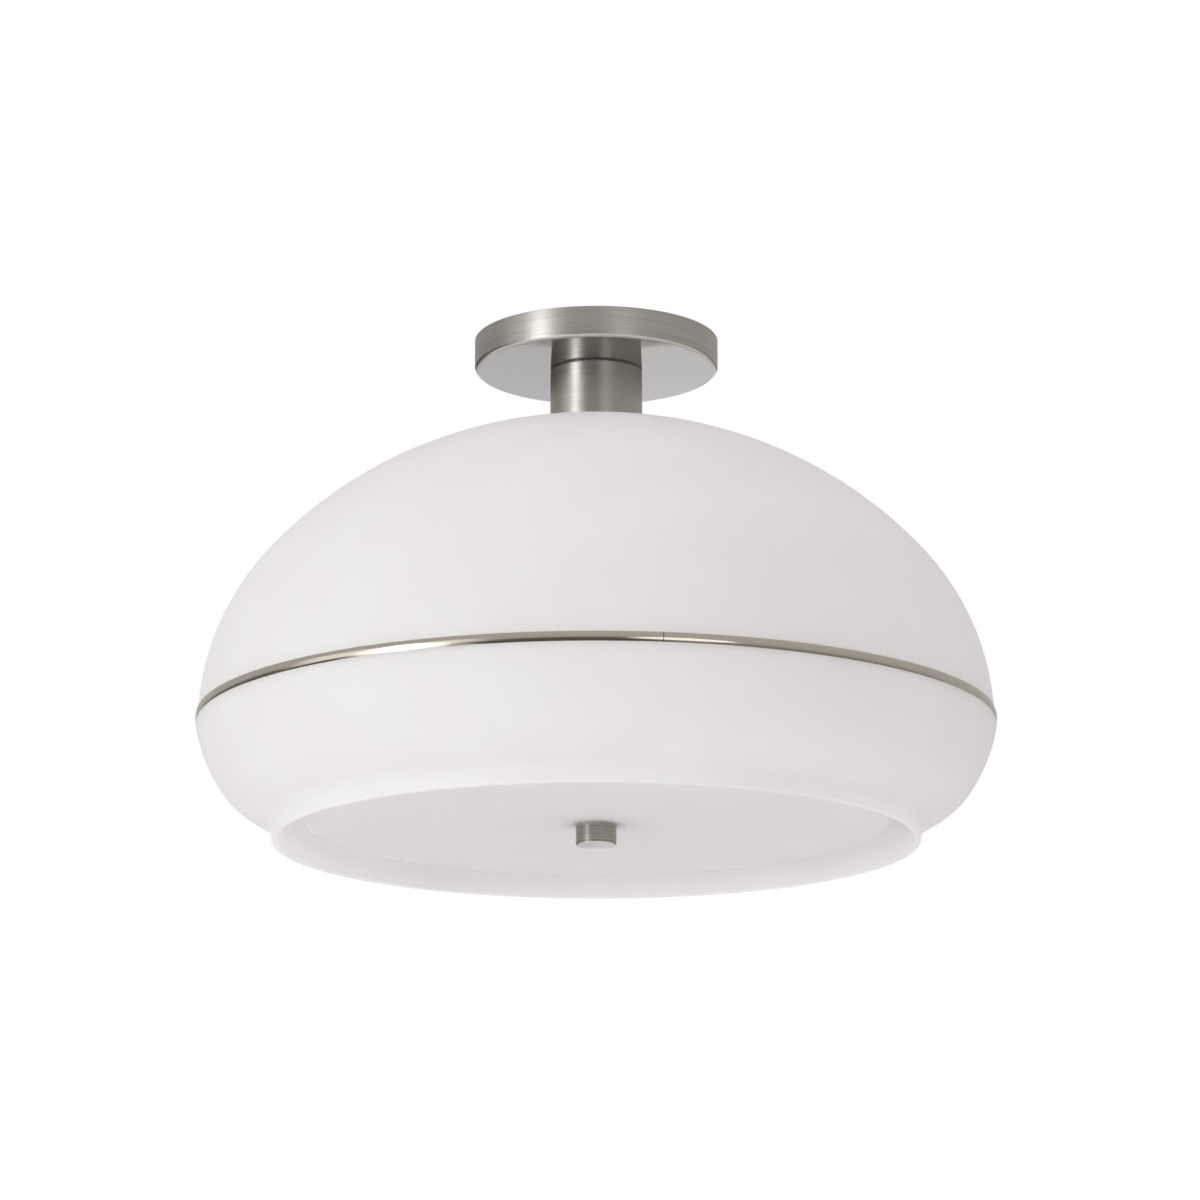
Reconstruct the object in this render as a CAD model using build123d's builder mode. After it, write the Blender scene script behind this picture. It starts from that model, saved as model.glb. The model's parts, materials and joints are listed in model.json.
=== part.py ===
from build123d import *
from math import asin, cos, degrees, radians, sin, sqrt, tan
import os

# A ceiling light: a round canopy and a short barrel carry one opal glass shade, with a bright band at its
# widest, a frosted disc in its mouth and a knob under the disc. Millimetres. The origin is the centre of
# the canopy's rim, in the plane of the ceiling; Z points up into the ceiling, and everything hangs below.

# canopy and crossbar
canopy_radius = 63.0
canopy_depth = 16.0
canopy_wall = 1.2
canopy_corner = 2.2
crossbar_length = 106.0
crossbar_width = 22.0
crossbar_thickness = 2.0
crossbar_drop = 5.0
crossbar_centre_half = 19.0
crossbar_end_radius = 6.0
slot_spacing = 79.4
slot_length = 14.4
slot_radius = 2.4
ground_screw_x = -13.0
ground_screw_y = 5.6
ground_screw_radius = 2.0
ground_head_radius = 4.4
ground_head_height = 2.6

# the hollow threaded nipple that hangs everything, and its flat hexagon nuts
nipple_radius = 5.0
nipple_bore = 3.3
nipple_top = -1.0
nut_height = 3.0
nut_across_flats = 14.3
thread_gap = 0.1
thread_chamfer = 0.5
nipple_hole = nipple_radius + thread_gap

# barrel between canopy and glass
barrel_radius = 23.8
barrel_wall = 1.6
barrel_chamfer = 1.4
barrel_plate = 2.2
spacer_radius = 7.5
base_disc_thickness = 2.0
upper_washer_thickness = 1.02
washer_hole_radius = 9.0

# opal glass shade: chains of tangent arcs, each a radius and the angle it turns through
glass_wall = 3.3
band_top = -201.3
band_bottom = -206.2
band_seat_radius = 201.8
dome_lean = 1.87
dome_shoulder_arc = 126.6
dome_shoulder_turn = 39.73
dome_crown_arc = 216.5
seat_radius = 24.0
inner_seat_radius = 26.0
glass_hole_radius = 8.0
ledge_radius = 202.9
bowl_lean = 9.79
bowl_arcs = [(78.2, 24.84), (36.9, 22.21), (113.4, 6.46)]
neck_fillet = 8.8
lip_taper = 0.2
rim_height = -265.0
rim_round = 1.2

# bright band round the shade
band_inner_radius = 202.0
band_edge_radius = 202.75
band_bulge = 0.4

# lower clamp and lamp cluster
lower_washer_thickness = 1.5
support_plate_thickness = 2.5
clamp_radius = 25.0
plate_chamfer = 0.8
hub_radius = 26.0
hub_wall = 2.5
hub_top_wall = 3.5
hub_side_height = 11.3
hub_cone_drop = 14.0
hub_mouth_radius = 9.5
hub_cap_flange = 3.0
hub_cap_spigot = 4.0
hub_chamfer = 1.0
boss_radius = 8.6
boss_height = 1.0
lamp_tilt = 45.0
lamp_azimuths = (90, 210, 330)

# lampholder, measured out along its own axis from the hub's cone
holder_start = boss_height + nut_height
holder_neck_radius = 11.5
holder_neck_end = 12.0
holder_body_start = 19.0
holder_radius = 19.5
holder_lip_radius = 20.6
holder_lip_start = 44.5
holder_end = 48.0
holder_floor = 16.0
holder_cavity_radius = 14.0
holder_mouth_radius = 15.6
holder_mouth_start = 42.0
shell_radius = 13.9
shell_wall = 0.5
tongue_width = 5.0
tongue_thickness = 0.6
tongue_reach = 5.0
tongue_rise = 3.5

# lamp bulb, measured out from the tip of its contact
bulb_start = 20.0
contact_radius = 4.6
contact_height = 1.6
insulator_height = 2.6
cap_radius = 13.05
cap_wall = 0.45
cap_start = 4.2
cap_end = 27.0
bulb_radius = 30.0
bulb_length = 108.0
bulb_neck_radius = 13.8
bulb_flare = 30.0
bulb_glass_wall = 0.8
stub_length = 8.0

# centre rod, diffuser and finial
rod_radius = 3.1
rod_hole = rod_radius + 0.07
rod_nut_height = 4.0
rod_nut_across_flats = 11.1
rod_above_nut = 1.0
jam_nut_gap = 0.4
diffuser_radius = 147.5
diffuser_thickness = 4.0
diffuser_underside = -254.8
diffuser_hole_radius = 5.0
diffuser_arris = 0.8
slip_gap = 0.3
stop_washer_radius = 11.0
stop_washer_thickness = 1.5
soft_washer_radius = 12.0
soft_washer_thickness = 1.2
finial_radius = 10.3
finial_height = 10.0
finial_chamfer = 0.8
finial_top_chamfer = 0.3
finial_thread_depth = 7.4
finial_tip_gap = 0.6
finial_washer_radius = 9.0
finial_washer_thickness = 0.8

# levels down the axis, each worked out from the one above it
canopy_inside = -(canopy_depth - canopy_wall)
crossbar_top = -crossbar_drop
crossbar_underside = crossbar_top - crossbar_thickness
barrel_top = -canopy_depth
barrel_plate_underside = barrel_top - barrel_plate
barrel_nut_underside = barrel_plate_underside - nut_height

# centres of the dome's two arcs in the plane of the profile (radius, height)
dome_inward = (-cos(radians(dome_lean)), -sin(radians(dome_lean)))
shoulder_centre = (band_seat_radius + dome_shoulder_arc * dome_inward[0],
                   band_top + dome_shoulder_arc * dome_inward[1])
crown_angle = radians(dome_lean + dome_shoulder_turn)
crown_centre = (shoulder_centre[0] + (dome_shoulder_arc - dome_crown_arc) * cos(crown_angle),
                shoulder_centre[1] + (dome_shoulder_arc - dome_crown_arc) * sin(crown_angle))


def crown_turn(arc_radius, end_radius):
    """Degrees that an arc of the crown turns through from the shoulder to a given distance from the axis."""
    return 90 - degrees(asin((end_radius - crown_centre[0]) / arc_radius)) - degrees(crown_angle)


def crown_height(arc_radius, at_radius):
    return crown_centre[1] + sqrt(arc_radius ** 2 - (at_radius - crown_centre[0]) ** 2)


glass_seat = crown_height(dome_crown_arc, seat_radius)
glass_inner_seat = crown_height(dome_crown_arc - glass_wall, inner_seat_radius)
base_disc_underside = glass_seat + upper_washer_thickness
base_disc_top = base_disc_underside + base_disc_thickness
barrel_bottom = glass_seat + 0.1
support_plate_top = glass_inner_seat - lower_washer_thickness
support_plate_underside = support_plate_top - support_plate_thickness
hub_top = support_plate_underside - nut_height
hub_inside = hub_top - hub_top_wall
nipple_bottom = hub_inside - nut_height - 1.0
hub_cone_top = hub_top - hub_side_height
hub_bottom = hub_cone_top - hub_cone_drop
cone_slope = tan(radians(lamp_tilt))
hub_bottom_radius = hub_radius - hub_cone_drop * cone_slope
rod_top_nut_underside = hub_bottom + hub_cap_spigot
rod_top = rod_top_nut_underside + rod_nut_height + rod_above_nut
cap_underside = hub_bottom - hub_cap_flange
diffuser_top = diffuser_underside + diffuser_thickness
stop_washer_underside = diffuser_top + soft_washer_thickness
stop_nut_underside = stop_washer_underside + stop_washer_thickness
finial_top = diffuser_underside - finial_washer_thickness
finial_bottom = finial_top - finial_height
rod_bottom = finial_top - finial_thread_depth + finial_tip_gap

os.makedirs("parts", exist_ok=True)


def lamp_plane(azimuth):
    """Plane of a lamp's profile: local Y runs down and out along the lamp, local X is its radius."""
    out = Vector(cos(radians(azimuth)), sin(radians(azimuth)), 0)
    down_and_out = out * cos(radians(lamp_tilt)) - Vector(0, 0, sin(radians(lamp_tilt)))
    up_and_out = out * sin(radians(lamp_tilt)) + Vector(0, 0, cos(radians(lamp_tilt)))
    middle = out * ((hub_radius + hub_bottom_radius) / 2) + Vector(0, 0, (hub_cone_top + hub_bottom) / 2)
    return Plane(origin=middle, x_dir=up_and_out, z_dir=up_and_out.cross(down_and_out))


def lamp_axis(azimuth):
    plane = lamp_plane(azimuth)
    return Axis(plane.origin, plane.y_dir)


def lamp_section(azimuth, along):
    """Plane square to a lamp's axis, a given distance out from the hub's cone."""
    plane = lamp_plane(azimuth)
    return Plane(origin=plane.origin + plane.y_dir * along, x_dir=plane.x_dir, z_dir=plane.y_dir)


# ---- canopy: a spun pan with a rounded outer corner and one centre hole
with BuildPart() as canopy:
    with BuildSketch(Plane.XZ) as canopy_profile:
        with BuildLine():
            Polyline(
                (nipple_hole + 0.2, -canopy_depth),
                (canopy_radius, -canopy_depth),
                (canopy_radius, 0),
                (canopy_radius - canopy_wall, 0),
                (canopy_radius - canopy_wall, canopy_inside),
                (nipple_hole + 0.2, canopy_inside),
                close=True,
            )
        make_face()
        outer_corner = canopy_profile.vertices().group_by(Axis.Y)[0].sort_by(Axis.X)[-1]
        fillet(outer_corner, canopy_corner)
    revolve(axis=Axis.Z)
canopy.part.label = "canopy"
export_step(canopy.part, "parts/canopy.step")

# ---- crossbar: a strap whose dropped middle leaves room for the nut above it
with BuildPart() as mounting_crossbar:
    half = crossbar_length / 2
    ramp_end = crossbar_centre_half + crossbar_drop
    with BuildSketch(Plane.XZ):
        with BuildLine():
            Polyline(
                (-half, 0),
                (-ramp_end, 0),
                (-crossbar_centre_half, crossbar_top),
                (crossbar_centre_half, crossbar_top),
                (ramp_end, 0),
                (half, 0),
                (half, -crossbar_thickness),
                (ramp_end + 0.8, -crossbar_thickness),
                (crossbar_centre_half + 0.8, crossbar_underside),
                (-crossbar_centre_half - 0.8, crossbar_underside),
                (-ramp_end - 0.8, -crossbar_thickness),
                (-half, -crossbar_thickness),
                close=True,
            )
        make_face()
    extrude(amount=crossbar_width / 2, both=True)
    end_edges = mounting_crossbar.edges().filter_by(Axis.Z).group_by(Axis.X)
    fillet(end_edges[0] + end_edges[-1], crossbar_end_radius)
    with BuildSketch(Plane.XY):
        with Locations((-slot_spacing / 2, 0), (slot_spacing / 2, 0)):
            SlotOverall(slot_length, 2 * slot_radius)
    extrude(amount=-crossbar_thickness, mode=Mode.SUBTRACT)
    with BuildSketch(Plane.XY.offset(crossbar_top)):
        Circle(nipple_hole)
        with Locations((ground_screw_x, ground_screw_y)):
            Circle(ground_screw_radius + thread_gap)
    extrude(amount=-crossbar_thickness, mode=Mode.SUBTRACT)
mounting_crossbar.part.label = "mounting_crossbar"
export_step(mounting_crossbar.part, "parts/mounting_crossbar.step")

# ---- ground screw: up through the strap, with a slotted hexagon washer head below it
with BuildPart() as ground_screw:
    with BuildSketch(Plane.XY.offset(crossbar_underside)):
        with Locations((ground_screw_x, ground_screw_y)):
            Circle(ground_head_radius)
    extrude(amount=-0.8)
    with BuildSketch(Plane.XY.offset(crossbar_underside - 0.8)):
        with Locations((ground_screw_x, ground_screw_y)):
            RegularPolygon(ground_head_radius - 0.9, 6)
    extrude(amount=-(ground_head_height - 0.8))
    with BuildSketch(Plane.XY.offset(crossbar_underside - ground_head_height)):
        with Locations((ground_screw_x, ground_screw_y)):
            Rectangle(2 * ground_head_radius, 0.9)
    extrude(amount=1.1, mode=Mode.SUBTRACT)
    with BuildSketch(Plane.XY.offset(crossbar_underside)):
        with Locations((ground_screw_x, ground_screw_y)):
            Circle(ground_screw_radius)
    extrude(amount=crossbar_thickness + 3.0)
ground_screw.part.label = "ground_screw"
export_step(ground_screw.part, "parts/ground_screw.step")

# ---- hollow nipple: the wires run down its bore
with BuildPart() as hollow_nipple:
    with BuildSketch(Plane.XY.offset(nipple_bottom)):
        Circle(nipple_radius)
        Circle(nipple_bore, mode=Mode.SUBTRACT)
    extrude(amount=nipple_top - nipple_bottom)
    chamfer(hollow_nipple.edges().filter_by(GeomType.CIRCLE).sort_by(SortBy.RADIUS)[-2:], thread_chamfer)
hollow_nipple.part.label = "hollow_nipple"
export_step(hollow_nipple.part, "parts/hollow_nipple.step")

# ---- five flat nuts on the nipple: over and under the crossbar, in the barrel, under the glass, in the hub
nut_undersides = (
    crossbar_top,
    crossbar_underside - nut_height,
    barrel_nut_underside,
    hub_top,
    hub_inside - nut_height,
)
with BuildPart() as nipple_nuts:
    for underside in nut_undersides:
        with BuildSketch(Plane.XY.offset(underside)):
            RegularPolygon(nut_across_flats / 2, 6, major_radius=False)
            Circle(nipple_hole, mode=Mode.SUBTRACT)
        extrude(amount=nut_height)
nipple_nuts.part.label = "nipple_nuts"
export_step(nipple_nuts.part, "parts/nipple_nuts.step")

# ---- barrel: a drawn cup, closed against the canopy and open over the glass
with BuildPart() as stem_barrel:
    with BuildSketch(Plane.XZ) as barrel_profile:
        with BuildLine():
            Polyline(
                (nipple_hole, barrel_top),
                (barrel_radius, barrel_top),
                (barrel_radius, barrel_bottom),
                (barrel_radius - barrel_wall, barrel_bottom),
                (barrel_radius - barrel_wall, barrel_plate_underside),
                (nipple_hole, barrel_plate_underside),
                close=True,
            )
        make_face()
        top_corner = barrel_profile.vertices().group_by(Axis.Y)[-1].sort_by(Axis.X)[-1]
        chamfer(top_corner, barrel_chamfer)
    revolve(axis=Axis.Z)
stem_barrel.part.label = "stem_barrel"
export_step(stem_barrel.part, "parts/stem_barrel.step")

# ---- spacer tube on the nipple, from the nut in the barrel down to the base disc
with BuildPart() as stem_spacer_tube:
    with BuildSketch(Plane.XY.offset(base_disc_top)):
        Circle(spacer_radius)
        Circle(nipple_hole, mode=Mode.SUBTRACT)
    extrude(amount=barrel_nut_underside - base_disc_top)
stem_spacer_tube.part.label = "stem_spacer_tube"
export_step(stem_spacer_tube.part, "parts/stem_spacer_tube.step")

# ---- base disc: centres the barrel and presses on the washer over the glass
with BuildPart() as stem_base_disc:
    with BuildSketch(Plane.XY.offset(base_disc_underside)):
        Circle(barrel_radius - barrel_wall - thread_gap)
        Circle(nipple_hole, mode=Mode.SUBTRACT)
    extrude(amount=base_disc_thickness)
stem_base_disc.part.label = "stem_base_disc"
export_step(stem_base_disc.part, "parts/stem_base_disc.step")

# ---- soft washers over and under the glass
with BuildPart() as upper_glass_washer:
    with BuildSketch(Plane.XY.offset(glass_seat)):
        Circle(barrel_radius - barrel_wall - slip_gap)
        Circle(washer_hole_radius, mode=Mode.SUBTRACT)
    extrude(amount=upper_washer_thickness)
upper_glass_washer.part.label = "upper_glass_washer"
export_step(upper_glass_washer.part, "parts/upper_glass_washer.step")

with BuildPart() as lower_glass_washer:
    with BuildSketch(Plane.XY.offset(support_plate_top)):
        Circle(clamp_radius)
        Circle(washer_hole_radius, mode=Mode.SUBTRACT)
    extrude(amount=lower_washer_thickness)
lower_glass_washer.part.label = "lower_glass_washer"
export_step(lower_glass_washer.part, "parts/lower_glass_washer.step")

# ---- support plate: carries the glass on its nut
with BuildPart() as glass_support_plate:
    with BuildSketch(Plane.XY.offset(support_plate_underside)):
        Circle(clamp_radius)
        Circle(nipple_hole, mode=Mode.SUBTRACT)
    extrude(amount=support_plate_thickness)
    chamfer(glass_support_plate.edges().group_by(Axis.Z)[0].sort_by(SortBy.RADIUS)[-1], plate_chamfer)
glass_support_plate.part.label = "glass_support_plate"
export_step(glass_support_plate.part, "parts/glass_support_plate.step")

# ---- glass shade: one blown wall, revolved. The outer line climbs from the band's seat over the shoulder
# to the crown, and drops from the ledge round the bowl into the necked lip. The inner line runs parallel.
with BuildPart() as glass_shade:
    with BuildSketch(Plane.XZ) as shade_profile:
        with BuildLine():
            lean = radians(dome_lean)
            up_the_dome = (-sin(lean), cos(lean))
            shoulder = JernArc((band_seat_radius, band_top), up_the_dome, dome_shoulder_arc, dome_shoulder_turn)
            crown = JernArc(shoulder @ 1, shoulder % 1, dome_crown_arc, crown_turn(dome_crown_arc, seat_radius))
            inner_foot = (band_seat_radius - glass_wall * cos(lean), band_top - glass_wall * sin(lean))
            inner_shoulder = JernArc(
                inner_foot, up_the_dome, dome_shoulder_arc - glass_wall, dome_shoulder_turn)
            inner_crown = JernArc(
                inner_shoulder @ 1, inner_shoulder % 1, dome_crown_arc - glass_wall,
                crown_turn(dome_crown_arc - glass_wall, inner_seat_radius))
            Polyline(crown @ 1, (glass_hole_radius, glass_seat), (glass_hole_radius, glass_inner_seat),
                     inner_crown @ 1)

            fall = radians(bowl_lean)
            down_the_bowl = (-sin(fall), -cos(fall))
            outer_point, outer_way = (ledge_radius, band_bottom), down_the_bowl
            inner_start = (ledge_radius - glass_wall * cos(fall), band_bottom + glass_wall * sin(fall))
            inner_point, inner_way = inner_start, down_the_bowl
            for arc_radius, turn in bowl_arcs:
                outer_arc = JernArc(outer_point, outer_way, arc_radius, -turn)
                outer_point, outer_way = outer_arc @ 1, outer_arc % 1
                inner_arc = JernArc(inner_point, inner_way, arc_radius - glass_wall, -turn)
                inner_point, inner_way = inner_arc @ 1, inner_arc % 1
            turn_back = bowl_lean + sum(turn for _, turn in bowl_arcs)
            neck = JernArc(outer_point, outer_way, neck_fillet, turn_back)
            inner_neck = JernArc(inner_point, inner_way, neck_fillet + glass_wall, turn_back)
            rim_outer = ((neck @ 1).X - lip_taper, rim_height)
            rim_inner = ((inner_neck @ 1).X - lip_taper, rim_height)
            Polyline(neck @ 1, rim_outer, rim_inner, inner_neck @ 1)
            Polyline((band_seat_radius, band_top), (band_seat_radius, band_bottom), (ledge_radius, band_bottom))
            Line(inner_foot, inner_start)
        make_face()
        fillet(shade_profile.vertices().group_by(Axis.Y)[0], rim_round)
    revolve(axis=Axis.Z)
glass_shade.part.label = "glass_shade"
export_step(glass_shade.part, "parts/glass_shade.step")
lip_radius = (neck @ 1).X

# ---- bright band: dropped over the dome, it rests on the ledge; its face is slightly crowned
with BuildPart() as trim_ring:
    with BuildSketch(Plane.XZ):
        with BuildLine():
            face = ThreePointArc(
                (band_edge_radius, band_bottom),
                (band_edge_radius + band_bulge, (band_top + band_bottom) / 2),
                (band_edge_radius, band_top),
            )
            Polyline(face @ 1, (band_inner_radius, band_top), (band_inner_radius, band_bottom), face @ 0)
        make_face()
    revolve(axis=Axis.Z)
trim_ring.part.label = "trim_ring"
export_step(trim_ring.part, "parts/trim_ring.step")

# ---- cluster hub: a turned housing with a cone at the lamps' tilt, and a boss and hole for each lamp
inner_cone_shift = hub_wall / cos(radians(lamp_tilt))
inner_radius = hub_radius - hub_wall
inner_cone_top = hub_cone_top + (inner_cone_shift - hub_wall) / cone_slope
inner_cone_bottom = inner_cone_top - (inner_radius - hub_mouth_radius) / cone_slope
with BuildPart() as cluster_hub:
    with BuildSketch(Plane.XZ):
        with BuildLine():
            Polyline(
                (nipple_hole, hub_top),
                (hub_radius, hub_top),
                (hub_radius, hub_cone_top),
                (hub_bottom_radius, hub_bottom),
                (hub_mouth_radius, hub_bottom),
                (hub_mouth_radius, inner_cone_bottom),
                (inner_radius, inner_cone_top),
                (inner_radius, hub_inside),
                (nipple_hole, hub_inside),
                close=True,
            )
        make_face()
    revolve(axis=Axis.Z)
    chamfer(cluster_hub.edges().group_by(Axis.Z)[-1].sort_by(SortBy.RADIUS)[-1], hub_chamfer)
    for azimuth in lamp_azimuths:
        with BuildSketch(lamp_section(azimuth, boss_height)):
            Circle(boss_radius)
        extrude(amount=-boss_height - 1.2)
    for azimuth in lamp_azimuths:
        with BuildSketch(lamp_section(azimuth, boss_height)):
            Circle(nipple_hole)
        extrude(amount=-boss_height - 2 * hub_wall, mode=Mode.SUBTRACT)
cluster_hub.part.label = "cluster_hub"
export_step(cluster_hub.part, "parts/cluster_hub.step")

# ---- cluster cap: screws into the hub's mouth and holds the centre rod
with BuildPart() as cluster_cap:
    with BuildSketch(Plane.XY.offset(cap_underside)):
        Circle(hub_bottom_radius)
    extrude(amount=hub_cap_flange)
    with BuildSketch(Plane.XY.offset(hub_bottom)):
        Circle(hub_mouth_radius - thread_gap)
    extrude(amount=hub_cap_spigot)
    with BuildSketch(Plane.XY.offset(cap_underside)):
        Circle(rod_hole)
    extrude(amount=hub_cap_flange + hub_cap_spigot, mode=Mode.SUBTRACT)
    chamfer(cluster_cap.edges().group_by(Axis.Z)[0].sort_by(SortBy.RADIUS)[-1], hub_chamfer)
cluster_cap.part.label = "cluster_cap"
export_step(cluster_cap.part, "parts/cluster_cap.step")

# ---- short hollow arms between hub and lampholders, and the flat nut on each
with BuildPart() as arm_nipples:
    for azimuth in lamp_azimuths:
        with BuildSketch(lamp_section(azimuth, -hub_wall - 1.5)):
            Circle(nipple_radius)
            Circle(nipple_bore, mode=Mode.SUBTRACT)
        extrude(amount=hub_wall + 1.5 + holder_neck_end - 0.5)
arm_nipples.part.label = "arm_nipples"
export_step(arm_nipples.part, "parts/arm_nipples.step")

with BuildPart() as arm_nuts:
    for azimuth in lamp_azimuths:
        with BuildSketch(lamp_section(azimuth, boss_height)):
            RegularPolygon(nut_across_flats / 2, 6, major_radius=False)
            Circle(nipple_hole, mode=Mode.SUBTRACT)
        extrude(amount=nut_height)
arm_nuts.part.label = "arm_nuts"
export_step(arm_nuts.part, "parts/arm_nuts.step")

# ---- centre rod, the nuts on it and the washer that stops the diffuser
with BuildPart() as centre_rod:
    with BuildSketch(Plane.XY.offset(rod_bottom)):
        Circle(rod_radius)
    extrude(amount=rod_top - rod_bottom)
    chamfer(centre_rod.edges().filter_by(GeomType.CIRCLE), thread_chamfer)
centre_rod.part.label = "centre_rod"
export_step(centre_rod.part, "parts/centre_rod.step")

rod_nut_undersides = (
    rod_top_nut_underside,
    cap_underside - rod_nut_height,
    stop_nut_underside + rod_nut_height + jam_nut_gap,
    stop_nut_underside,
)
with BuildPart() as rod_nuts:
    for underside in rod_nut_undersides:
        with BuildSketch(Plane.XY.offset(underside)):
            RegularPolygon(rod_nut_across_flats / 2, 6, major_radius=False)
            Circle(rod_hole, mode=Mode.SUBTRACT)
        extrude(amount=rod_nut_height)
rod_nuts.part.label = "rod_nuts"
export_step(rod_nuts.part, "parts/rod_nuts.step")

with BuildPart() as stop_washer:
    with BuildSketch(Plane.XY.offset(stop_washer_underside)):
        Circle(stop_washer_radius)
        Circle(rod_hole, mode=Mode.SUBTRACT)
    extrude(amount=stop_washer_thickness)
stop_washer.part.label = "stop_washer"
export_step(stop_washer.part, "parts/stop_washer.step")

# ---- three lamps: porcelain holder, metal screw shell, contact tongue, and the bulb that screws in
bulb_foot = bulb_start + cap_end
globe_centre = bulb_start + bulb_length - bulb_radius


def neck_end(globe_radius, neck_radius):
    """Where the straight neck meets the flare, which is a cone tangent to the globe."""
    flare = radians(bulb_flare)
    return globe_centre - (globe_radius - neck_radius * cos(flare)) / sin(flare)


for number, azimuth in enumerate(lamp_azimuths, start=1):
    with BuildPart() as lampholder:
        with BuildSketch(lamp_plane(azimuth)):
            with BuildLine():
                Polyline(
                    (nipple_hole, holder_start),
                    (holder_neck_radius, holder_start),
                    (holder_neck_radius, holder_neck_end),
                    (holder_radius, holder_body_start),
                    (holder_radius, holder_lip_start),
                    (holder_lip_radius, holder_lip_start),
                    (holder_lip_radius, holder_end),
                    (holder_mouth_radius, holder_end),
                    (holder_mouth_radius, holder_mouth_start),
                    (holder_cavity_radius, holder_mouth_start),
                    (holder_cavity_radius, holder_floor),
                    (0, holder_floor),
                    (0, holder_neck_end),
                    (nipple_hole, holder_neck_end),
                    close=True,
                )
            make_face()
        revolve(axis=lamp_axis(azimuth))
    lampholder.part.label = f"lampholder_{number}"
    export_step(lampholder.part, f"parts/lampholder_{number}.step")

    with BuildPart() as screw_shell:
        with BuildSketch(lamp_plane(azimuth)):
            with BuildLine():
                Polyline(
                    (tongue_reach + 1.0, holder_floor),
                    (shell_radius, holder_floor),
                    (shell_radius, holder_mouth_start),
                    (shell_radius - shell_wall, holder_mouth_start),
                    (shell_radius - shell_wall, holder_floor + shell_wall),
                    (tongue_reach + 1.0, holder_floor + shell_wall),
                    close=True,
                )
            make_face()
        revolve(axis=lamp_axis(azimuth))
    screw_shell.part.label = f"screw_shell_{number}"
    export_step(screw_shell.part, f"parts/screw_shell_{number}.step")

    with BuildPart() as contact_tongue:
        with BuildSketch(lamp_plane(azimuth)):
            with BuildLine():
                Polyline(
                    (-tongue_reach, holder_floor),
                    (tongue_reach, holder_floor),
                    (tongue_reach, holder_floor + tongue_thickness),
                    (-tongue_reach + 2 * tongue_thickness, holder_floor + tongue_thickness),
                    (tongue_thickness, holder_floor + tongue_rise - tongue_thickness),
                    (tongue_reach - 1.0, holder_floor + tongue_rise - tongue_thickness),
                    (tongue_reach - 1.0, holder_floor + tongue_rise),
                    (0, holder_floor + tongue_rise),
                    (-tongue_reach, holder_floor + tongue_thickness),
                    close=True,
                )
            make_face()
        extrude(amount=tongue_width / 2, both=True)
    contact_tongue.part.label = f"contact_tongue_{number}"
    export_step(contact_tongue.part, f"parts/contact_tongue_{number}.step")

    with BuildPart() as bulb_glass:
        with BuildSketch(lamp_plane(azimuth)):
            with BuildLine():
                globe = CenterArc((0, globe_centre), bulb_radius, -bulb_flare, 90 + bulb_flare)
                inner_radius = bulb_radius - bulb_glass_wall
                inner_globe = CenterArc((0, globe_centre), inner_radius, -bulb_flare, 90 + bulb_flare)
                Line(globe @ 1, inner_globe @ 1)
                stub_radius = cap_radius - cap_wall - thread_gap
                inner_stub_radius = stub_radius - bulb_glass_wall
                Polyline(
                    globe @ 0,
                    (bulb_neck_radius, neck_end(bulb_radius, bulb_neck_radius)),
                    (bulb_neck_radius, bulb_foot),
                    (stub_radius, bulb_foot),
                    (stub_radius, bulb_foot - stub_length),
                    (inner_stub_radius, bulb_foot - stub_length),
                    (inner_stub_radius, neck_end(inner_radius, inner_stub_radius)),
                    inner_globe @ 0,
                )
            make_face()
        revolve(axis=lamp_axis(azimuth))
    bulb_glass.part.label = f"bulb_glass_{number}"
    export_step(bulb_glass.part, f"parts/bulb_glass_{number}.step")

    with BuildPart() as bulb_cap:
        with BuildSketch(lamp_plane(azimuth)):
            with BuildLine():
                Polyline(
                    (contact_radius + 4, bulb_start + insulator_height),
                    (cap_radius - 1.5, bulb_start + cap_start),
                    (cap_radius, bulb_start + cap_start + 1.5),
                    (cap_radius, bulb_start + cap_end),
                    (cap_radius - cap_wall, bulb_start + cap_end),
                    (cap_radius - cap_wall, bulb_start + cap_start + 1.8),
                    (cap_radius - 2.0, bulb_start + cap_start + cap_wall),
                    (contact_radius + 4, bulb_start + insulator_height + cap_wall + 0.2),
                    close=True,
                )
            make_face()
        revolve(axis=lamp_axis(azimuth))
    bulb_cap.part.label = f"bulb_cap_{number}"
    export_step(bulb_cap.part, f"parts/bulb_cap_{number}.step")

    with BuildPart() as bulb_contact:
        with BuildSketch(lamp_plane(azimuth)):
            with BuildLine():
                Polyline(
                    (0, bulb_start),
                    (contact_radius - 0.6, bulb_start),
                    (contact_radius, bulb_start + 0.6),
                    (contact_radius, bulb_start + contact_height),
                    (contact_radius + 4, bulb_start + insulator_height),
                    (contact_radius + 4, bulb_start + insulator_height + 1.4),
                    (0, bulb_start + insulator_height + 1.4),
                    close=True,
                )
            make_face()
        revolve(axis=lamp_axis(azimuth))
    bulb_contact.part.label = f"bulb_contact_{number}"
    export_step(bulb_contact.part, f"parts/bulb_contact_{number}.step")

# ---- diffuser: a flat disc with a ground edge, its centring bush and the soft washer on it
with BuildPart() as diffuser_disc:
    with BuildSketch(Plane.XY.offset(diffuser_underside)):
        Circle(diffuser_radius)
        Circle(diffuser_hole_radius, mode=Mode.SUBTRACT)
    extrude(amount=diffuser_thickness)
    chamfer(diffuser_disc.edges().filter_by(GeomType.CIRCLE).sort_by(SortBy.RADIUS)[-2:], diffuser_arris)
diffuser_disc.part.label = "diffuser_disc"
export_step(diffuser_disc.part, "parts/diffuser_disc.step")

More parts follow.
